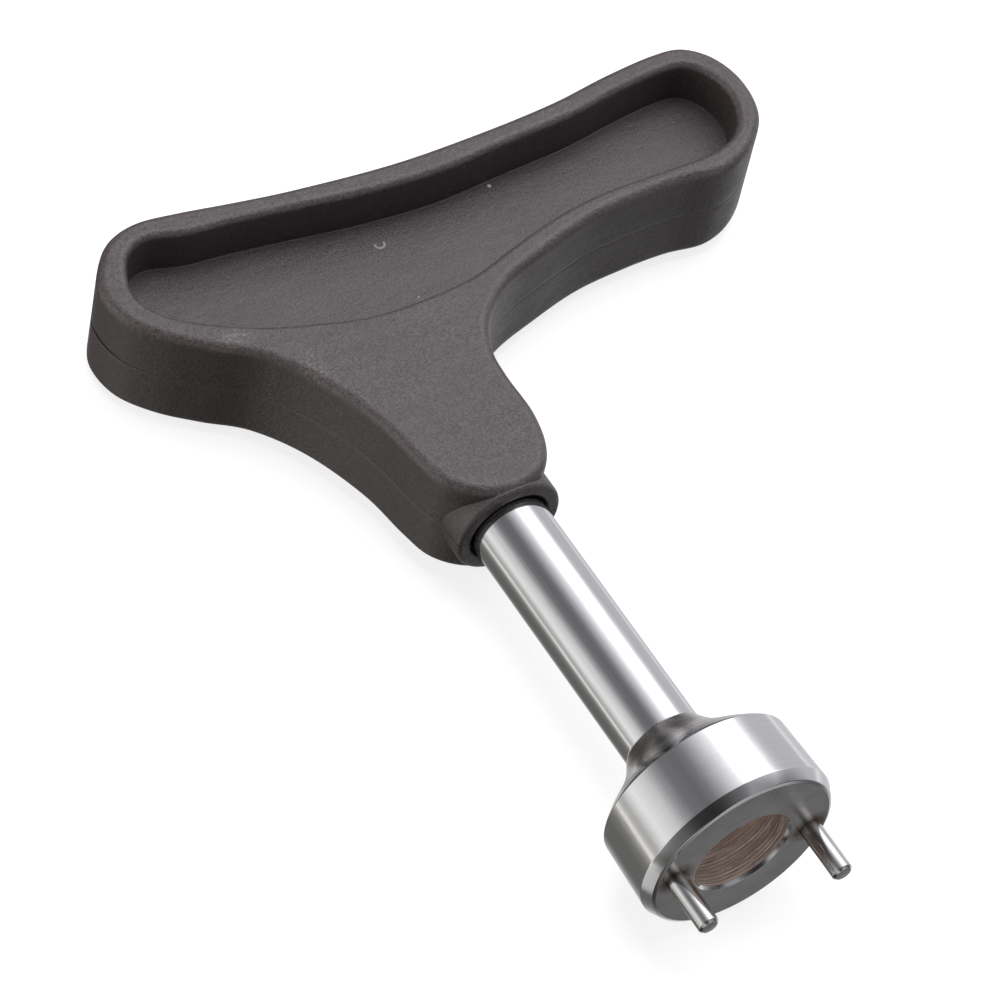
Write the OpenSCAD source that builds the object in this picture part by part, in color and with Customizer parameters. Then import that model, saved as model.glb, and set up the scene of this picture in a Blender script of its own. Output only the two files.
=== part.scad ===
// Two-pin T-handle opener: a rigid hand spanner.
// A polished steel head with two round drive pins sits on a round steel shaft,
// and an offset T-handle, moulded in two half shells, is keyed to the shaft's tang.
// Frame: the shaft axis is the Y axis, the head's front face is the plane y = 0,
// the handle lies towards +Y, its long wing points to +X and its front face to +Z.

/* [Handle] */
// Thickness of the whole handle, both half shells together
handle_t = 12.2; // [11.6:0.2:14]
// Depth of the recess in each face
recess_d = 5.0; // [2:0.2:5.2]
// Straight steps between two control points of the outline
steps = 3; // [2:1:5]

/* [Collar] */
// Radius of the round collar where the shaft leaves the handle
collar_r = 5.7; // [5.2:0.1:5.9]
// Distance of the collar's front rim from the head's front face
collar_y = 41.3; // [40:0.1:41.8]
// Radius of the counterbore around the shaft in the collar
mouth_r = 4.3; // [4.2:0.1:4.8]
// Depth of that counterbore
mouth_d = 1.2; // [0.6:0.2:3]

/* [Shaft] */
// Diameter of the shaft
shaft_d = 8.0; // [7:0.1:8.2]
// Width across the two flats of the tang inside the handle
tang_w = 6.4; // [5.4:0.2:6.6]
// Where the tang's flats begin
tang_y = 47; // [45:0.5:50]
// Where the shaft ends inside the handle
shaft_end = 63; // [61:0.5:64]
// Diameter of the spigot that is pressed into the head
spigot_d = 6.0; // [5:0.1:6.6]

/* [Tang pin] */
// Diameter of the cross pin through the tang
cross_d = 3.0; // [2:0.2:3.4]
// Length of the cross pin
cross_len = 10.6; // [9:0.2:11]
// Distance of the cross pin from the head's front face
cross_y = 56; // [54:0.5:58]

/* [Drive head] */
// Radius of the drum at its front
drum_r = 10.25; // [9.8:0.05:10.6]
// Radius of the drum at its back edge
drum_back_r = 9.95; // [9.6:0.05:10.2]
// Radius of the flat front face, inside the front bevel
face_r = 9.35; // [9.1:0.05:9.7]
// Length of the front bevel along the axis
bevel = 1.25; // [0.6:0.05:1.6]
// Length of the drum
drum_len = 8.1; // [7.6:0.1:9]
// Total length of the head, drum and neck
head_len = 13.6; // [12.8:0.1:15]
// Diameter of the centre bore in the front face
bore_d = 10.0; // [8:0.1:10.4]
// Depth of the centre bore
bore_depth = 5.6; // [4:0.1:6]

/* [Drive pins] */
// Diameter of each drive pin
pin_d = 2.1; // [1.6:0.1:2.4]
// Distance between the centres of the two drive pins
pin_pitch = 15.0; // [14.4:0.1:15.6]
// How far each pin stands out of the front face
pin_out = 5.8; // [3:0.1:7]
// Diameter of each pin's shank inside the head, a little less than the pin's own
shank_d = 1.9; // [1.4:0.1:2]
// How deep each pin sits in the head
pin_in = 6.0; // [4:0.1:7]
// Turn of the pin pair about the shaft, in degrees
pin_turn = -4; // [-8:1:8]
// Chamfer on each pin's tip
pin_ch = 0.25; // [0.1:0.05:0.4]

/* [Locating pegs] */
// Diameter of the moulded pegs that line the two shells up
peg_d = 2.4; // [1.6:0.1:2.8]
// Height of the pegs
peg_h = 2.2; // [1:0.1:3]

/* [Hidden] */
half = handle_t / 2;
web = half - recess_d;
shaft_r = shaft_d / 2;
bore_r = bore_d / 2;
socket_y = 7.6;
PEGS = [[-8.6, 63.4], [9.2, 63.3]];
DARK = [0.22, 0.21, 0.205];
STEEL = [0.80, 0.80, 0.81];

// Outline of the handle as seen from the front face: control points on a half
// millimetre grid, from the end of the neck, up its right side, out along the long
// wing, back along the far edge, round the short wing and down the neck again.
OUTLINE = [
    [0, 41.5], [3.5, 42.5], [5.5, 45], [6.5, 49], [6.5, 54], [7, 57.5], [9, 61],
    [13, 64], [19, 66], [25, 67.5], [31, 68], [36, 68], [40.5, 67.5], [44.5, 69],
    [48, 72.5], [49, 77], [48, 81], [45.5, 83.5], [42, 84],
    [36, 83.5], [29, 82.5], [20, 82], [10, 82], [-0.5, 83], [-7, 84], [-12.5, 85],
    [-17, 85.5], [-20.5, 84.5], [-23, 82], [-24.5, 79], [-24, 75], [-21.5, 71.5],
    [-18, 68.5], [-14, 65.5], [-10.5, 60.5], [-8, 54], [-7, 48.5], [-6, 45], [-3.5, 42.5]];

// Outline of the recess in each face, on the same grid and in the same direction.
RECESS = [
    [0, 65.5], [5, 65.5], [10, 66], [15, 67.5], [20.5, 69], [27, 70], [34, 70], [40, 70],
    [43.5, 71], [45.5, 73], [46.5, 76], [46, 79], [44.5, 81], [42, 81.5],
    [36.5, 81], [30, 80], [22, 79.5], [14, 79], [6, 79.5], [-1, 80.5], [-8, 81.5], [-13, 82],
    [-17, 83], [-19.5, 82], [-21, 79.5], [-21.5, 77], [-20.5, 74.5], [-18.5, 72.5],
    [-15.5, 70.5], [-11.5, 68.5], [-7, 67], [-3.5, 66]];

// Smooth closed curve through control points
function wrap(P, i) = P[(i + len(P)) % len(P)];
function cr(a, b, c, d, t) =
    0.5 * (2 * b + (c - a) * t + (2 * a - 5 * b + 4 * c - d) * t * t
           + (3 * b - a - 3 * c + d) * t * t * t);
function closed(P, n) = [for (i = [0:len(P) - 1]) for (k = [0:n - 1])
    cr(wrap(P, i - 1), P[i], wrap(P, i + 1), wrap(P, i + 2), k / n)];

// Half of the handle's body, from the joint plane to the front face
module half_body() {
    linear_extrude(half) polygon(closed(OUTLINE, steps));
}

// The recess in that half, open to the front
module half_recess() {
    translate([0, 0, web]) linear_extrude(recess_d + 1) polygon(closed(RECESS, steps));
}

// A cylinder along +Y from y0 to y1
module ycyl(y0, y1, r, fn = 64) {
    translate([0, y0, 0]) rotate([-90, 0, 0]) cylinder(h = y1 - y0, r = r, $fn = fn);
}

// Room for the shaft in the handle: counterbore, round seat and flatted tang seat
module shaft_seat() {
    difference() {
        rotate([-90, 0, 0]) rotate_extrude($fn = 64) polygon([
            [0, collar_y - 1], [mouth_r, collar_y - 1], [mouth_r, collar_y + mouth_d],
            [shaft_r, collar_y + mouth_d], [shaft_r, shaft_end], [0, shaft_end]]);
        for (s = [-1, 1]) translate([-6, tang_y, s > 0 ? tang_w / 2 : -tang_w / 2 - 5])
            cube([12, shaft_end - tang_y + 1, 5]);
    }
}

// Half of the round collar that the shaft leaves through, its rim slightly rounded
module collar_half() {
    rotate([-90, 0, 0]) rotate_extrude(angle = -180, $fn = 96) polygon([
        [0, collar_y], [collar_r - 0.5, collar_y], [collar_r, collar_y + 0.5],
        [collar_r, 48], [0, 48]]);
}

// One half shell lying on the joint plane; pegs stand up from it or are sunk in it
module half_shell(front) {
    difference() {
        union() {
            half_body();
            collar_half();
        }
        half_recess();
        shaft_seat();
        // seat of the cross pin
        translate([0, cross_y, -1]) cylinder(h = cross_len / 2 + 1, d = cross_d, $fn = 48);
        if (front)
            for (p = PEGS) translate([p[0], p[1], -1])
                cylinder(h = peg_h + 1.2, d = peg_d + 0.1, $fn = 32);
    }
    if (!front)
        for (p = PEGS) translate([p[0], p[1], -peg_h]) cylinder(h = peg_h + 0.5, d = peg_d, $fn = 32);
}

module handle_front_shell() {
    color(DARK) half_shell(true);
}

module handle_rear_shell() {
    color(DARK) mirror([0, 0, 1]) half_shell(false);
}

// Round shaft, with a spigot at the head end and a flatted, cross-drilled tang
module shaft() {
    color(STEEL) difference() {
        union() {
            ycyl(socket_y, head_len + 0.5, spigot_d / 2);
            ycyl(head_len, shaft_end, shaft_r);
        }
        for (s = [-1, 1]) translate([-10, tang_y, s > 0 ? tang_w / 2 : -tang_w / 2 - 5])
            cube([20, shaft_end - tang_y + 1, 5]);
        translate([0, cross_y, -8]) cylinder(h = 16, d = cross_d, $fn = 48);
    }
}

// Plain hardened pin through the tang; its ends sit in the two shells
module tang_cross_pin() {
    color(STEEL) translate([0, cross_y, -cross_len / 2])
        cylinder(h = cross_len, d = cross_d, $fn = 48);
}

// Drum with a bevelled front, a centre bore, a concave neck and a rear socket
module drive_head() {
    color(STEEL) difference() {
        rotate([-90, 0, 0]) rotate_extrude($fn = 128) polygon([
            [0, 0], [face_r, 0], [face_r + 0.30, 0.12], [drum_r, bevel],
            [drum_back_r, drum_len], [drum_back_r - 0.35, drum_len + 0.35],
            [8.5, 9.35], [7.1, 10.35], [6.0, 11.2], [5.2, 12.0], [4.6, 12.8],
            [shaft_r + 0.15, head_len], [0, head_len]]);
        // centre bore with a broken edge and a drilled cone at its floor
        rotate([-90, 0, 0]) rotate_extrude($fn = 96) polygon([
            [0, -1], [bore_r + 0.25, -1], [bore_r + 0.25, 0], [bore_r, 0.25],
            [bore_r, bore_depth], [1.2, bore_depth + 1.0], [0, bore_depth + 1.0]]);
        // rear socket of the shaft's spigot
        ycyl(socket_y, head_len + 1, spigot_d / 2);
        for (s = [-1, 1]) pin_place(s) ycyl(-1, pin_in, shank_d / 2, 48);
    }
}

module pin_place(s) {
    rotate([0, -pin_turn, 0]) translate([s * pin_pitch / 2, 0, 0]) children();
}

// Round drive pin with a chamfered tip; its shoulder sits on the head's front face
module drive_pin(s) {
    color(STEEL) pin_place(s) rotate([-90, 0, 0]) rotate_extrude($fn = 48) polygon([
        [0, -pin_out], [pin_d / 2 - pin_ch, -pin_out], [pin_d / 2, -pin_out + pin_ch],
        [pin_d / 2, 0], [shank_d / 2, 0], [shank_d / 2, pin_in], [0, pin_in]]);
}

module drive_pin_left() { drive_pin(-1); }
module drive_pin_right() { drive_pin(1); }

handle_front_shell();
handle_rear_shell();
shaft();
tang_cross_pin();
drive_head();
drive_pin_left();
drive_pin_right();
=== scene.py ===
import math

import bmesh
import bpy
from mathutils import Matrix, Quaternion, Vector


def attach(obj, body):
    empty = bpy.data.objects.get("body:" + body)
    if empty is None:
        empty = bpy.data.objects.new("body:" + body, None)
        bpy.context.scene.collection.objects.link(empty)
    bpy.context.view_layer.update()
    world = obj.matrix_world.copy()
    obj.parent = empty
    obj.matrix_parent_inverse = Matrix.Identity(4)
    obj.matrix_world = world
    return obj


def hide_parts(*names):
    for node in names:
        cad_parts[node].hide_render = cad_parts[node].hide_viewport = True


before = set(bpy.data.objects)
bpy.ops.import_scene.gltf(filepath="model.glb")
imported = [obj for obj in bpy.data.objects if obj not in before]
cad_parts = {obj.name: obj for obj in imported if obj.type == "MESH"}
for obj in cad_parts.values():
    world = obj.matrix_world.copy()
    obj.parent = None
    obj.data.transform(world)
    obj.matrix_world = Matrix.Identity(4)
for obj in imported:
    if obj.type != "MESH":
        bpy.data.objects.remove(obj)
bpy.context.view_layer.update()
MM = 0.001

# ---------------------------------------------------------------- shape data (mm)
# The control points and sizes below repeat those of the CAD source.
OUTLINE = [
    (0, 41.5), (3.5, 42.5), (5.5, 45), (6.5, 49), (6.5, 54), (7, 57.5), (9, 61),
    (13, 64), (19, 66), (25, 67.5), (31, 68), (36, 68), (40.5, 67.5), (44.5, 69),
    (48, 72.5), (49, 77), (48, 81), (45.5, 83.5), (42, 84),
    (36, 83.5), (29, 82.5), (20, 82), (10, 82), (-0.5, 83), (-7, 84), (-12.5, 85),
    (-17, 85.5), (-20.5, 84.5), (-23, 82), (-24.5, 79), (-24, 75), (-21.5, 71.5),
    (-18, 68.5), (-14, 65.5), (-10.5, 60.5), (-8, 54), (-7, 48.5), (-6, 45), (-3.5, 42.5)]
RECESS = [
    (0, 65.5), (5, 65.5), (10, 66), (15, 67.5), (20.5, 69), (27, 70), (34, 70), (40, 70),
    (43.5, 71), (45.5, 73), (46.5, 76), (46, 79), (44.5, 81), (42, 81.5),
    (36.5, 81), (30, 80), (22, 79.5), (14, 79), (6, 79.5), (-1, 80.5), (-8, 81.5), (-13, 82),
    (-17, 83), (-19.5, 82), (-21, 79.5), (-21.5, 77), (-20.5, 74.5), (-18.5, 72.5),
    (-15.5, 70.5), (-11.5, 68.5), (-7, 67), (-3.5, 66)]
HALF, WEB = 6.1, 1.1
PEGS = [(-8.6, 63.4), (9.2, 63.3)]
SUB = 8
R_OUT, R_IN, R_FLOOR = 1.05, 0.82, 0.14


def cr(a, b, c, d, t):
    return 0.5 * (2 * b + (c - a) * t + (2 * a - 5 * b + 4 * c - d) * t * t
                  + (3 * b - a - 3 * c + d) * t * t * t)


def closed(points, n):
    out, m = [], len(points)
    for i in range(m):
        a, b, c, d = (points[(i + k) % m] for k in (-1, 0, 1, 2))
        for k in range(n):
            t = k / n
            out.append((cr(a[0], b[0], c[0], d[0], t), cr(a[1], b[1], c[1], d[1], t)))
    return out


def outward(points):
    out, m = [], len(points)
    for i in range(m):
        p, q = points[(i - 1) % m], points[(i + 1) % m]
        dx, dy = q[0] - p[0], q[1] - p[1]
        k = math.hypot(dx, dy)
        out.append((dy / k, -dx / k))
    return out


# ---------------------------------------------------------------- mesh helpers
def to_object(name, bm):
    bmesh.ops.recalc_face_normals(bm, faces=bm.faces)
    bmesh.ops.scale(bm, vec=(MM, MM, MM), verts=bm.verts)
    me = bpy.data.meshes.new(name)
    bm.to_mesh(me)
    bm.free()
    ob = bpy.data.objects.new(name, me)
    bpy.context.scene.collection.objects.link(ob)
    return ob


def strip(bm, a, b):
    n = len(a)
    for i in range(n):
        j = (i + 1) % n
        bm.faces.new((a[i], a[j], b[j], b[i]))


def lathe(name, profile, n=192, axis=(0.0, 0.0), edges=()):
    """Solid of revolution about a line parallel to Y through axis=(x, z). profile is (r, y) from axis to axis."""
    bm = bmesh.new()
    lay = bm.verts.layers.float.new("edge")
    rings = []
    for r, y in profile:
        if r < 1e-9:
            ring = [bm.verts.new((axis[0], y, axis[1]))]
        else:
            ring = [bm.verts.new((axis[0] + r * math.cos(2 * math.pi * i / n), y,
                                  axis[1] + r * math.sin(2 * math.pi * i / n))) for i in range(n)]
        wear = max([0.0] + [max(0.0, 1 - math.hypot(r - er, y - ey) / reach) for er, ey, reach in edges])
        for v in ring:
            v[lay] = wear
        rings.append(ring)
    for a, b in zip(rings, rings[1:]):
        if len(a) == 1 and len(b) == 1:
            continue
        for i in range(n):
            j = (i + 1) % n
            if len(a) == 1:
                bm.faces.new((a[0], b[i], b[j]))
            elif len(b) == 1:
                bm.faces.new((a[i], b[0], a[j]))
            else:
                bm.faces.new((a[i], b[i], b[j], a[j]))
    return to_object(name, bm)


def half_tube(name, profile, lift, n=96):
    """A closed (r, y) profile swept round Y from one side of the joint plane to the other."""
    bm = bmesh.new()
    lay = bm.verts.layers.float.new("edge")
    cols = []
    for k in range(n + 1):
        a = math.radians(lift) + (math.pi - 2 * math.radians(lift)) * k / n
        cols.append([bm.verts.new((r * math.cos(a), y, r * math.sin(a))) for r, y in profile])
        for v, (r, y) in zip(cols[-1], profile):
            v[lay] = max(0.0, 1 - math.hypot(r - 5.55, y - 41.5) / 1.2)
    for a, b in zip(cols, cols[1:]):
        strip(bm, a, b)
    bm.faces.new(cols[0])
    bm.faces.new(cols[-1])
    return to_object(name, bm)


def prism(name, points, axis, lo, hi):
    """A polygon in the plane square to axis ('y': points are x, z; 'z': points are x, y), pushed from lo to hi."""
    bm = bmesh.new()
    bm.verts.layers.float.new("edge")
    rings = []
    for h in (lo, hi):
        rings.append([bm.verts.new((p, h, q) if axis == "y" else (p, q, h)) for p, q in points])
    strip(bm, *rings)
    bm.faces.new(rings[0])
    bm.faces.new(rings[1])
    return to_object(name, bm)


def circle(r, n=64, cx=0.0, cy=0.0):
    return [(cx + r * math.cos(2 * math.pi * i / n), cy + r * math.sin(2 * math.pi * i / n)) for i in range(n)]


def boolean(ob, other, operation):
    mod = ob.modifiers.new("cut", "BOOLEAN")
    mod.operation, mod.object, mod.solver = operation, other, "EXACT"
    bpy.context.view_layer.update()
    dg = bpy.context.evaluated_depsgraph_get()
    me = bpy.data.meshes.new_from_object(ob.evaluated_get(dg), preserve_all_data_layers=True, depsgraph=dg)
    ob.modifiers.clear()
    old, ob.data = ob.data, me
    bpy.data.meshes.remove(old)
    gone = other.data
    bpy.data.objects.remove(other)
    bpy.data.meshes.remove(gone)


def finish_piece(ob, node, mats, angle=32, weighted=True):
    me = ob.data
    bm = bmesh.new()
    bm.from_mesh(me)
    bmesh.ops.remove_doubles(bm, verts=bm.verts, dist=1e-7)
    bad = sum(1 for e in bm.edges if not e.is_manifold)
    bm.to_mesh(me)
    bm.free()
    print("piece", ob.name, len(me.vertices), "vertices, open edges", bad)
    me.materials.clear()
    for m in mats:
        me.materials.append(m)
    me.shade_smooth()
    me.set_sharp_from_angle(angle=math.radians(angle))
    if weighted:
        w = ob.modifiers.new("normals", "WEIGHTED_NORMAL")
        w.keep_sharp = True
        w.mode = "FACE_AREA"
        w.weight = 100
    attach(ob, "root")
    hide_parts(node)


# ---------------------------------------------------------------- node helpers
class Nodes:
    def __init__(self, tree):
        self.t = tree
        self.t.nodes.clear()

    def add(self, kind, inputs=None, **props):
        n = self.t.nodes.new(kind)
        for k, v in props.items():
            setattr(n, k, v)
        for k, v in (inputs or {}).items():
            s = n.inputs[k]
            if isinstance(v, bpy.types.NodeSocket):
                self.t.links.new(v, s)
            else:
                s.default_value = v
        return n

    def math(self, op, a, b=0.0, clamp=False):
        return self.add("ShaderNodeMath", {0: a, 1: b}, operation=op, use_clamp=clamp).outputs[0]

    def span(self, v, a, b, c=0.0, d=1.0, smooth=True):
        return self.add("ShaderNodeMapRange", {0: v, 1: a, 2: b, 3: c, 4: d},
                        interpolation_type="SMOOTHSTEP" if smooth else "LINEAR").outputs[0]

    def mix(self, f, a, b, blend="MIX"):
        n = self.add("ShaderNodeMix", {0: f, 6: a, 7: b}, data_type="RGBA", blend_type=blend)
        return n.outputs[2]

    def noise(self, vec, scale, detail=2.0, rough=0.5):
        return self.add("ShaderNodeTexNoise", {"Vector": vec, "Scale": scale, "Detail": detail,
                                               "Roughness": rough}).outputs[0]

    def mm(self):
        tc = self.add("ShaderNodeTexCoord")
        return self.add("ShaderNodeVectorMath", {0: tc.outputs["Object"], 1: (1000, 1000, 1000)},
                        operation="MULTIPLY").outputs[0]

    def scaled(self, vec, s):
        return self.add("ShaderNodeVectorMath", {0: vec, 1: s}, operation="MULTIPLY").outputs[0]

    def bump(self, height, distance, strength=1.0, normal=None):
        i = {"Height": height, "Distance": distance, "Strength": strength}
        if normal is not None:
            i["Normal"] = normal
        return self.add("ShaderNodeBump", i).outputs[0]


def material(name):
    m = bpy.data.materials.new(name)
    m.use_nodes = True
    g = Nodes(m.node_tree)
    bsdf = g.add("ShaderNodeBsdfPrincipled")
    out = g.add("ShaderNodeOutputMaterial")
    g.t.links.new(bsdf.outputs[0], out.inputs[0])
    return m, g, bsdf


def rgb(r, g, b):
    return (r, g, b, 1.0)


# ---------------------------------------------------------------- materials
def plastic():
    m, g, b = material("moulded_plastic")
    mm = g.mm()
    fine = g.noise(mm, 5.5, 3.0, 0.6)
    grain = g.noise(mm, 2.2, 2.0, 0.5)
    cloud = g.noise(mm, 0.16, 3.0, 0.55)
    flow = g.noise(g.scaled(mm, (0.35, 1.4, 1.0)), 0.5, 3.0, 0.6)
    scuff = g.span(g.noise(g.scaled(mm, (1.0, 0.25, 1.0)), 1.7, 5.0, 0.7), 0.60, 0.72)
    edge = g.add("ShaderNodeAttribute", attribute_name="edge").outputs["Fac"]
    worn = g.math("MULTIPLY", edge, g.span(g.noise(mm, 2.6, 5.0, 0.7), 0.42, 0.68, 0.2, 1.0))
    c = g.mix(g.span(fine, 0.32, 0.68), rgb(0.026, 0.021, 0.020), rgb(0.088, 0.073, 0.070))
    c = g.mix(g.span(cloud, 0.3, 0.7, 0.0, 0.35), c, rgb(0.052, 0.044, 0.043))
    c = g.mix(g.math("MULTIPLY", scuff, 0.16), c, rgb(0.16, 0.14, 0.135))
    c = g.mix(g.math("MULTIPLY", worn, 0.32), c, rgb(0.19, 0.16, 0.145))
    # a few small marks: dust, a crescent dent and a pale speck on the recess floor; and a painted highlight,
    # lighter warm patches along the near-left rim edge
    dust = g.add("ShaderNodeTexVoronoi", {"Vector": mm, "Scale": 0.16}).outputs["Distance"]
    c = g.mix(g.span(dust, 0.030, 0.016, 0.0, 0.7), c, rgb(0.36, 0.31, 0.28))
    sep = g.add("ShaderNodeSeparateXYZ", {0: mm})
    up = g.span(sep.outputs[2], 0.9, 1.0)

    def dist(x, y, z, stretch=(1.0, 1.0, 1.0)):
        at = g.add("ShaderNodeVectorMath", {0: mm, 1: (x, y, z)}, operation="SUBTRACT").outputs[0]
        at = g.add("ShaderNodeVectorMath", {0: at, 1: stretch}, operation="MULTIPLY").outputs[0]
        return g.add("ShaderNodeVectorMath", {0: at}, operation="LENGTH").outputs["Value"]

    dent = g.span(g.math("ABSOLUTE", g.math("SUBTRACT", dist(6.1, 76.5, 1.1), 0.5)), 0.05, 0.17, 1.0, 0.0)
    dent = g.math("MULTIPLY", dent, g.span(sep.outputs[1], 76.75, 76.5))
    c = g.mix(g.math("MULTIPLY", dent, 0.8), c, rgb(0.30, 0.26, 0.25))
    c = g.mix(g.span(dist(20.2, 78.65, 1.1), 0.12, 0.26, 0.9, 0.0), c, rgb(0.62, 0.50, 0.36))
    # painted highlight: lighter warm patches on the near-left rim and neck edge, mottled by noise
    rim_highlight = g.math("MAXIMUM", g.span(dist(-15.4, 68.6, 5.6, (0.45, 0.8, 0.9)), 0.3, 1.5, 1.0, 0.0),
                 g.span(dist(-10.2, 61.5, 5.6, (0.7, 0.25, 0.9)), 0.3, 1.4, 0.8, 0.0))
    rim_highlight = g.math("MULTIPLY", rim_highlight, g.span(g.noise(mm, 3.4, 4.0, 0.7), 0.50, 0.60))
    c = g.mix(g.math("MULTIPLY", rim_highlight, 0.35), c, rgb(0.30, 0.26, 0.235))
    g.t.links.new(c, b.inputs["Base Color"])
    r = g.span(g.math("ADD", g.math("MULTIPLY", flow, 0.6), g.math("MULTIPLY", grain, 0.4)), 0.3, 0.7, 0.35, 0.47)
    r = g.math("SUBTRACT", r, g.math("MULTIPLY", edge, 0.10))
    g.t.links.new(r, b.inputs["Roughness"])
    n = g.bump(g.math("ADD", fine, g.math("MULTIPLY", grain, 0.8)), 0.000058)
    n = g.bump(flow, 0.00006, 1.0, n)
    g.t.links.new(n, b.inputs["Normal"])
    b.inputs["Specular IOR Level"].default_value = 0.95
    return m


def steel(name, base, dark, rough, along, brown=0.0, lines=1.0, painted_pin_shade=False, metal=1.0):
    """Polished or turned steel. along: streaks run along Y; otherwise the marks go round the axis."""
    m, g, b = material(name)
    mm = g.mm()
    sep = g.add("ShaderNodeSeparateXYZ", {0: mm})
    if along:
        vec = g.scaled(mm, (1.0, 0.03, 1.0))
        k = 5.0
    else:
        flat = g.add("ShaderNodeCombineXYZ", {0: sep.outputs[0], 2: sep.outputs[2]}).outputs[0]
        rad = g.add("ShaderNodeVectorMath", {0: flat}, operation="LENGTH").outputs["Value"]
        vec = g.add("ShaderNodeCombineXYZ", {
            0: rad, 1: sep.outputs[1],
            2: g.math("MULTIPLY", g.math("ARCTAN2", sep.outputs[2], sep.outputs[0]), 0.35)}).outputs[0]
        k = 6.0
    marks = g.noise(vec, k, 4.0, 0.7)
    soft = g.noise(mm, 0.45, 3.0, 0.5)
    pits = g.span(g.noise(mm, 4.0, 3.0, 0.6), 0.66, 0.74)
    edge = g.add("ShaderNodeAttribute", attribute_name="edge").outputs["Fac"]
    c = g.mix(g.span(marks, 0.35, 0.7), base, dark)
    c = g.mix(g.math("MULTIPLY", pits, 0.25), c, rgb(0.30, 0.28, 0.27))
    c = g.mix(g.math("MULTIPLY", edge, 0.5), c, rgb(0.90, 0.90, 0.91))
    if brown:
        c = g.mix(g.span(g.noise(vec, 1.4, 4.0, 0.6), 0.35, 0.65, 0.0, brown), c, rgb(0.26, 0.19, 0.15))
    if painted_pin_shade:  # painted shade: the face is darkened to brown round the foot of each pin, standing in for the dark reflection and shade there
        pin_shade_mask = None
        for sx in (-1, 1):
            d = g.add("ShaderNodeVectorMath", {0: flat, 1: (sx * 7.4815, 0.0, -sx * 0.5232)},
                      operation="DISTANCE").outputs["Value"]
            d = g.span(d, 1.1, 2.5, 1.0, 0.0)
            pin_shade_mask = d if pin_shade_mask is None else g.math("MAXIMUM", pin_shade_mask, d)
        pin_shade_mask = g.math("MULTIPLY", pin_shade_mask, g.span(g.noise(mm, 1.1, 3.0, 0.6), 0.25, 0.6, 0.45, 0.95))
        c = g.mix(pin_shade_mask, c, rgb(0.13, 0.085, 0.06))
    g.t.links.new(c, b.inputs["Base Color"])
    r = g.math("ADD", g.span(soft, 0.3, 0.7, rough * 0.75, rough * 1.25), g.math("MULTIPLY", marks, rough * 0.5))
    r = g.math("ADD", r, g.math("MULTIPLY", pits, 0.15))
    g.t.links.new(r, b.inputs["Roughness"])
    n = g.bump(marks, 0.0000022 * lines)
    n = g.bump(soft, 0.000010, 1.0, n)
    g.t.links.new(n, b.inputs["Normal"])
    b.inputs["Metallic"].default_value = metal
    return m


M_PLASTIC = plastic()
M_CHROME = steel("polished_plating", rgb(0.80, 0.80, 0.81), rgb(0.74, 0.735, 0.745), 0.075, True)
M_TURNED = steel("turned_plating", rgb(0.79, 0.78, 0.785), rgb(0.73, 0.72, 0.72), 0.085, False, lines=0.35)
# the faced plating carries painted shade round the foot of each pin
M_FACE = steel("faced_plating", rgb(0.44, 0.42, 0.405), rgb(0.33, 0.315, 0.30), 0.26, False, lines=0.8, painted_pin_shade=True)
M_NECK = steel("neck_plating", rgb(0.92, 0.89, 0.86), rgb(0.79, 0.76, 0.73), 0.22, False, lines=0.8)
# the bore is bare and oxidised, so it is half dull
M_BORE = steel("bored_steel", rgb(0.74, 0.63, 0.58), rgb(0.34, 0.27, 0.24), 0.42, False, brown=0.50, lines=4.0, metal=0.5)
M_PIN = steel("ground_pin_steel", rgb(0.82, 0.81, 0.80), rgb(0.70, 0.68, 0.66), 0.14, True)
M_PLAIN = steel("plain_pin_steel", rgb(0.60, 0.60, 0.61), rgb(0.48, 0.48, 0.49), 0.28, True)


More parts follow.
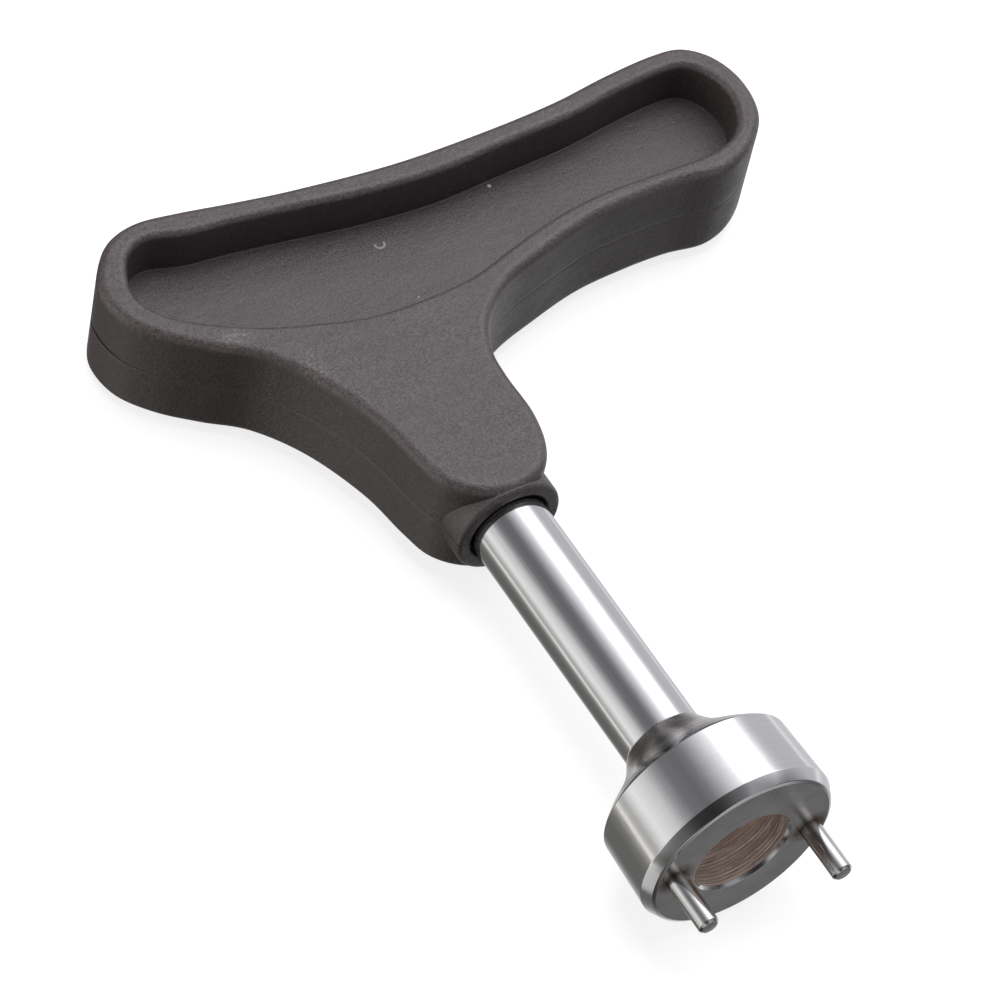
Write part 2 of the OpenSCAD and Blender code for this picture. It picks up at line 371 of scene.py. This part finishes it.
# ---------------------------------------------------------------- handle
def half_shell(name, s):
    bm = bmesh.new()
    lay = bm.verts.layers.float.new("edge")
    po, pr = closed(OUTLINE, SUB), closed(RECESS, SUB)
    no, nr = outward(po), outward(pr)

    def ring(pts, nrm, off, z, wear=0.0):
        out = []
        for i, (p, n) in enumerate(zip(pts, nrm)):
            o = off(i) if callable(off) else off
            h = z(i) if callable(z) else z
            v = bm.verts.new((p[0] + n[0] * o, p[1] + n[1] * o, h * s))
            v[lay] = wear
            out.append(v)
        return out

    # the joint groove opens up at the end of the short wing
    gap = []
    for x, y in po:
        d = math.hypot(x + 24.2, y - 79.6)
        gap.append(math.exp(-((d / 3.4) ** 2)))
    rings = [
        ring(po, no, lambda i: -0.035 - 0.66 * gap[i], lambda i: 0.0),
        ring(po, no, lambda i: -0.035 - 0.60 * gap[i], lambda i: 0.012 + 0.20 * gap[i] * (1 if s > 0 else 0.5)),
        ring(po, no, lambda i: -0.012 - 0.06 * gap[i], lambda i: 0.04 + 0.22 * gap[i] * (1 if s > 0 else 0.5), 0.3),
        ring(po, no, 0.0, lambda i: 0.09 + 0.30 * gap[i], 0.5),
        ring(po, no, 0.0, 0.6),
        ring(po, no, 0.0, 2.0),
        ring(po, no, 0.0, 3.6),
        ring(po, no, 0.0, HALF - R_OUT - 0.35),
    ]
    steps = 9
    for k in range(steps + 1):
        a = math.pi / 2 * k / steps
        rings.append(ring(po, no, -R_OUT * (1 - math.cos(a)), HALF - R_OUT + R_OUT * math.sin(a),
                          0.25 + 0.75 * math.sin(2 * a)))
    rings.append(ring(po, no, -R_OUT - 0.05, HALF, 0.0))
    for a, b in zip(rings, rings[1:]):
        strip(bm, a, b)
    bm.faces.new(rings[0])
    outer_top = rings[-1]

    rings = [ring(pr, nr, R_IN + 0.05, HALF, 0.0)]
    for k in range(steps + 1):
        a = math.pi / 2 * k / steps
        rings.append(ring(pr, nr, R_IN * (1 - math.sin(a)), HALF - R_IN + R_IN * math.cos(a),
                          0.2 + 0.8 * math.sin(2 * a)))
    rings.append(ring(pr, nr, -0.02, HALF - R_IN - 0.8))
    rings.append(ring(pr, nr, -0.06, WEB + R_FLOOR + 0.6))
    for k in range(5):
        a = math.pi / 2 * k / 4
        rings.append(ring(pr, nr, -0.08 - R_FLOOR * (1 - math.cos(a)), WEB + R_FLOOR * (1 - math.sin(a))))
    for a, b in zip(rings, rings[1:]):
        strip(bm, a, b)
    bm.faces.new(rings[-1])
    inner_top = rings[0]

    edges = []
    for loop in (outer_top, inner_top):
        n = len(loop)
        for i in range(n):
            edges.append(bm.edges.get((loop[i], loop[(i + 1) % n])))
    bmesh.ops.triangle_fill(bm, use_beauty=True, use_dissolve=False, edges=edges, normal=(0, 0, s))
    ob = to_object(name, bm)

    # the collar, half on each shell, with a rounded rim
    rim = [(5.7 - 0.55 + 0.55 * math.sin(a), 41.3 + 0.55 - 0.55 * math.cos(a))
           for a in [math.pi / 2 * k / 6 for k in range(7)]]
    tube = half_tube("tube", [(3.0, 41.3)] + rim + [(5.7, 44.0), (5.7, 48.0), (3.0, 48.0)], 0.45)
    if s < 0:
        tube.data.transform(Matrix.Scale(-1, 4, (0, 0, 1)))
        tube.data.flip_normals()
    boolean(ob, tube, "UNION")
    # the seat of the shaft
    boolean(ob, lathe("seat", [(0, 40.0), (4.45, 40.0), (4.45, 41.34), (4.3, 41.5), (4.3, 42.5), (4.03, 42.5),
                               (4.03, 47.02), (0, 47.02)], 96), "DIFFERENCE")
    a0 = math.asin(3.23 / 4.03)
    arc = [math.pi - a0 + 2 * a0 * k / 20 for k in range(21)] + [-a0 + 2 * a0 * k / 20 for k in range(21)]
    boolean(ob, prism("tang_seat", [(4.03 * math.cos(a), 4.03 * math.sin(a)) for a in arc], "y", 46.5, 63.03),
            "DIFFERENCE")
    boolean(ob, prism("pin_seat", circle(1.52, 48, 0, 56), "z", -5.32, 5.32), "DIFFERENCE")
    for x, y in PEGS:
        if s > 0:
            boolean(ob, prism("peg_seat", circle(1.25, 32, x, y), "z", -0.5, 2.25), "DIFFERENCE")
        else:
            boolean(ob, prism("peg", circle(1.2, 32, x, y), "z", -0.4, 2.2), "UNION")
    return ob


for name, s, node in (("handle_front", 1, "handle_front_shell"), ("handle_rear", -1, "handle_rear_shell")):
    finish_piece(half_shell(name, s), node, [M_PLASTIC])


# ---------------------------------------------------------------- steel parts
def fillet(a, b, c, r, n=5):
    """Rounds the corner b of the profile a-b-c with radius r."""
    va, vc = (Vector(a) - Vector(b)).normalized(), (Vector(c) - Vector(b)).normalized()
    half = va.angle(vc) / 2
    d = r / math.tan(half)
    centre = Vector(b) + (va + vc).normalized() * (r / math.sin(half))
    p, q = Vector(b) + va * d - centre, Vector(b) + vc * d - centre
    turn = p.angle(q)
    out = []
    for k in range(n + 1):
        t = k / n
        v = (p * math.sin((1 - t) * turn) + q * math.sin(t * turn)) / math.sin(turn)
        out.append(tuple(centre + v))
    return out


def rounded(profile, radii):
    out = []
    for i, p in enumerate(profile):
        r = radii.get(i)
        if r:
            out += fillet(profile[i - 1], p, profile[i + 1], r)
        else:
            out.append(p)
    return out


# shaft: spigot, polished round, flatted and cross-drilled tang
prof = rounded([(0, 7.62), (2.98, 7.62), (2.98, 13.66), (4.0, 13.66), (4.0, 47.0), (4.0, 63.0), (0, 63.0)],
               {1: 0.3, 3: 0.12, 5: 0.5})
shaft = lathe("shaft_bar", prof, 256, edges=[(4.0, 13.66, 0.3), (4.0, 63.0, 0.8)])
for lo, hi in ((3.2, 6.0), (-6.0, -3.2)):
    boolean(shaft, prism("flat", [(-6, lo), (6, lo), (6, hi), (-6, hi)], "y", 47.0, 64.0), "DIFFERENCE")
boolean(shaft, prism("cross_hole", circle(1.5, 48, 0, 56), "z", -6, 6), "DIFFERENCE")
finish_piece(shaft, "shaft", [M_CHROME])

# drive head: face, bevel, drum, chamfered back edge, concave neck, rear socket, centre bore
neck = [(9.6, 8.45), (8.5, 9.35), (7.1, 10.35), (6.0, 11.2), (5.2, 12.0), (4.6, 12.8), (4.2, 13.45)]
curve = []
for i in range(len(neck) - 1):
    a, b = neck[max(i - 1, 0)], neck[i]
    c, d = neck[i + 1], neck[min(i + 2, len(neck) - 1)]
    for k in range(6):
        t = k / 6
        curve.append((cr(a[0], b[0], c[0], d[0], t), cr(a[1], b[1], c[1], d[1], t)))
curve.append(neck[-1])
wall = []  # turned rings left in the bore
for k in range(41):
    y = 5.35 - (5.35 - 0.35) * k / 40
    wall.append((5.0 + 0.022 * math.sin(k * 2.1) + 0.012 * math.sin(k * 3.7 + 1), y))
front = rounded([(5.0, 0.35), (5.25, 0.0), (9.35, 0.0), (9.66, 0.12), (10.25, 1.25), (9.95, 8.1), (9.6, 8.45),
                 (8.5, 9.35)], {1: 0.08, 2: 0.14, 3: 0.25, 4: 0.24, 5: 0.16, 6: 0.16})
head = lathe("drive_head_body",
             [(0, 6.6), (1.2, 6.6), (4.8, 5.66), (4.95, 5.52)] + wall + front[1:-1] + curve[1:]
             + [(4.12, 13.58), (4.05, 13.6), (3.02, 13.6), (3.02, 7.6), (0, 7.6)], 256,
             edges=[(9.5, 0.05, 0.35), (10.23, 1.2, 0.35), (9.95, 8.1, 0.3), (9.6, 8.45, 0.3), (5.25, 0.0, 0.2)])
c4, s4 = math.cos(math.radians(4)), math.sin(math.radians(4))
for sx in (-1, 1):
    hole = lathe("hole", [(0, -1), (0.97, -1), (0.97, 6.02), (0, 6.02)], 64,
                 (sx * 7.5 * c4, -sx * 7.5 * s4))
    boolean(head, hole, "DIFFERENCE")
finish_piece(head, "drive_head", [M_TURNED, M_BORE, M_FACE, M_NECK])
for p in head.data.polygons:
    c = p.center / MM
    r = math.hypot(c.x, c.z)
    p.material_index = 1 if r < 5.1 and 0.2 < c.y < 6.8 else 2 if c.y < 0.02 else 3 if c.y > 8.7 else 0

for sx, name in ((-1, "drive_pin_left"), (1, "drive_pin_right")):
    prof = rounded([(0, -5.8), (0.8, -5.8), (1.05, -5.55), (1.05, 0.0), (0.95, 0.0), (0.95, 6.0), (0, 6.0)],
                   {1: 0.06, 2: 0.08, 3: 0.03, 5: 0.1})
    pin = lathe(name + "_ground", prof, 96, (sx * 7.5 * c4, -sx * 7.5 * s4), edges=[(1.0, -5.65, 0.35)])
    finish_piece(pin, name, [M_PIN])

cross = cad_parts["tang_cross_pin"]
for sl in cross.material_slots:
    sl.material = M_PLAIN

# ---------------------------------------------------------------- stage
tilt = math.atan2(-6.1 + 10.25, 85.0 - 1.25)
bm = bmesh.new()
bmesh.ops.create_grid(bm, x_segments=8, y_segments=8, size=2.0)
me = bpy.data.meshes.new("floor")
bm.to_mesh(me)
bm.free()
floor = bpy.data.objects.new("floor", me)
bpy.context.scene.collection.objects.link(floor)
floor.matrix_world = Matrix.Translation((0, 1.25 * MM, -10.27 * MM)) @ Matrix.Rotation(tilt, 4, "X")
m, g, b = material("pale_floor")
b.inputs["Base Color"].default_value = rgb(0.36, 0.36, 0.363)
b.inputs["Roughness"].default_value = 0.9
b.inputs["Specular IOR Level"].default_value = 0.1
b.inputs["Emission Color"].default_value = rgb(1, 1, 1)
b.inputs["Emission Strength"].default_value = 0.80
floor.data.materials.append(m)
floor.visible_glossy = False
floor.visible_diffuse = False

bm = bmesh.new()
bmesh.ops.create_icosphere(bm, subdivisions=5, radius=1.9)
me = bpy.data.meshes.new("backdrop")
bm.to_mesh(me)
bm.free()
backdrop = bpy.data.objects.new("backdrop", me)
bpy.context.scene.collection.objects.link(backdrop)
m = bpy.data.materials.new("backdrop_white")
m.use_nodes = True
g = Nodes(m.node_tree)
em = g.add("ShaderNodeEmission", {"Color": rgb(1, 1, 1), "Strength": 1.3})
out = g.add("ShaderNodeOutputMaterial")
g.t.links.new(em.outputs[0], out.inputs[0])
backdrop.data.materials.append(m)
backdrop.visible_diffuse = False
backdrop.visible_glossy = False
backdrop.visible_transmission = False
backdrop.visible_volume_scatter = False
backdrop.visible_shadow = False

# studio surroundings: long soft boxes and dark flags parallel to the shaft, by angle about it
BANDS = [
    (-180, 0.92), (-172, 0.72), (-165, 0.46), (-159, 0.50), (-153, 0.95), (-149, 0.40), (-141, 0.20), (-128, 0.14),
    (-102, 0.14), (-91, 0.24), (-81, 0.44), (-70, 0.66), (-52, 0.68), (-30, 0.62), (-23, 0.72), (-18, 0.88),
    (-12, 0.56), (18, 0.55), (27, 0.62), (34, 0.92), (41, 1.6), (70, 1.8), (77, 1.10), (84, 0.82), (93, 0.56),
    (101, 0.36), (109, 0.21), (119, 0.155), (136, 0.19), (147, 0.36), (158, 0.66), (180, 0.92)]
world = bpy.data.worlds.new("studio")
bpy.context.scene.world = world
world.use_nodes = True
g = Nodes(world.node_tree)
tc = g.add("ShaderNodeTexCoord")
sep = g.add("ShaderNodeSeparateXYZ", {0: tc.outputs["Generated"]})
phi = g.math("ARCTAN2", sep.outputs[2], sep.outputs[0])
ramp = g.add("ShaderNodeValToRGB", {0: g.span(phi, -math.pi, math.pi, smooth=False)})
els = ramp.color_ramp.elements
while len(els) > 1:
    els.remove(els[-1])
PEAK = 2.0
for k, (deg, v) in enumerate(BANDS):
    e = els[0] if k == 0 else els.new((deg + 180) / 360)
    e.position = (deg + 180) / 360
    tint = (1.01, 1.0, 0.955) if -168 < deg < -95 else (0.985, 0.98, 1.02) if -60 < deg < 150 else (1, 1, 1)
    e.color = (v / PEAK * tint[0], v / PEAK * tint[1], v / PEAK * tint[2], 1)
facing = g.span(sep.outputs[1], -0.05, -0.45)
front = g.math("MULTIPLY", facing, g.span(sep.outputs[2], -0.15, 0.25, 0.82, 0.82))
# far in front and low down the surroundings are light again, so the steel isn't black when seen from behind
relax = g.math("MULTIPLY", g.span(sep.outputs[1], -0.56, -0.76), g.span(sep.outputs[2], 0.45, 0.10))
front = g.math("MULTIPLY", front, g.math("SUBTRACT", 1.0, g.math("MULTIPLY", relax, 0.50)))
back = g.span(sep.outputs[1], 0.58, 0.84)
dim = g.math("MULTIPLY", g.math("SUBTRACT", 1.0, front), g.math("SUBTRACT", 1.0, g.math("MULTIPLY", back, 0.80)))
# a small bright card low at the left, which the bevel of the head picks up
card = g.add("ShaderNodeVectorMath", {0: tc.outputs["Generated"], 1: Vector((-0.70, -0.10, -0.68)).normalized()},
             operation="DOT_PRODUCT").outputs["Value"]
glow = g.math("MULTIPLY", g.span(card, 0.92, 0.985), 0.42)
light_level = g.math("MULTIPLY", dim, PEAK)
bg = g.add("ShaderNodeBackground", {"Color": ramp.outputs[0], "Strength": light_level})
bg2 = g.add("ShaderNodeBackground", {"Color": rgb(1, 1, 1), "Strength": glow})
bg = g.add("ShaderNodeAddShader", {0: bg.outputs[0], 1: bg2.outputs[0]})
out = g.add("ShaderNodeOutputWorld")
g.t.links.new(bg.outputs[0], out.inputs[0])



def soft_light(name, place, aim, size, energy, colour, only=None, glossy=False):
    light = bpy.data.lights.new(name, "AREA")
    light.shape, light.size, light.energy, light.color = "DISK", size, energy, colour
    ob = bpy.data.objects.new(name, light)
    bpy.context.scene.collection.objects.link(ob)
    ob.location = place
    ob.rotation_mode = "QUATERNION"
    ob.rotation_quaternion = (Vector(aim) - ob.location).to_track_quat("-Z", "Y")
    ob.visible_glossy = glossy
    ob.visible_camera = False
    if only is not None:
        group = bpy.data.collections.new(name + "_lit")
        group.objects.link(only)
        ob.light_linking.receiver_collection = group


soft_light("soft_top", (0.03, 0.17, 0.60), (0.01, 0.045, 0), 0.42, 2.6, (0.965, 0.955, 1.085))
soft_light("soft_left", (-0.50, 0.30, 0.12), (0.0, 0.06, 0), 0.35, 1.15, (1.0, 0.92, 0.86))
soft_light("soft_right", (0.34, -0.34, 0.06), (0.03, 0.07, 0), 0.30, 0.14, (1.0, 0.84, 0.76))
soft_light("bore_fill", (-0.05, -0.30, 0.12), (0, 0, 0), 0.10, 0.68, (1.0, 0.98, 0.96), head)

# ---------------------------------------------------------------- camera
turn = Vector((-0.61549, 0.32082, 0.47568))
axes = Quaternion(turn.normalized(), turn.length).to_matrix()
rows = Matrix(axes)
centre = Vector((-0.206714, -0.188249, 0.380096))
cam_data = bpy.data.cameras.new("camera")
cam_data.sensor_width = 36
cam_data.lens = 185.630
cam_data.clip_start, cam_data.clip_end = 0.01, 20
cam = bpy.data.objects.new("camera", cam_data)
bpy.context.scene.collection.objects.link(cam)
cam.matrix_world = Matrix.Translation(centre) @ rows.transposed().to_4x4()
bpy.context.scene.camera = cam
bpy.context.scene.view_settings.view_transform = "Standard"
bpy.context.view_layer.update()
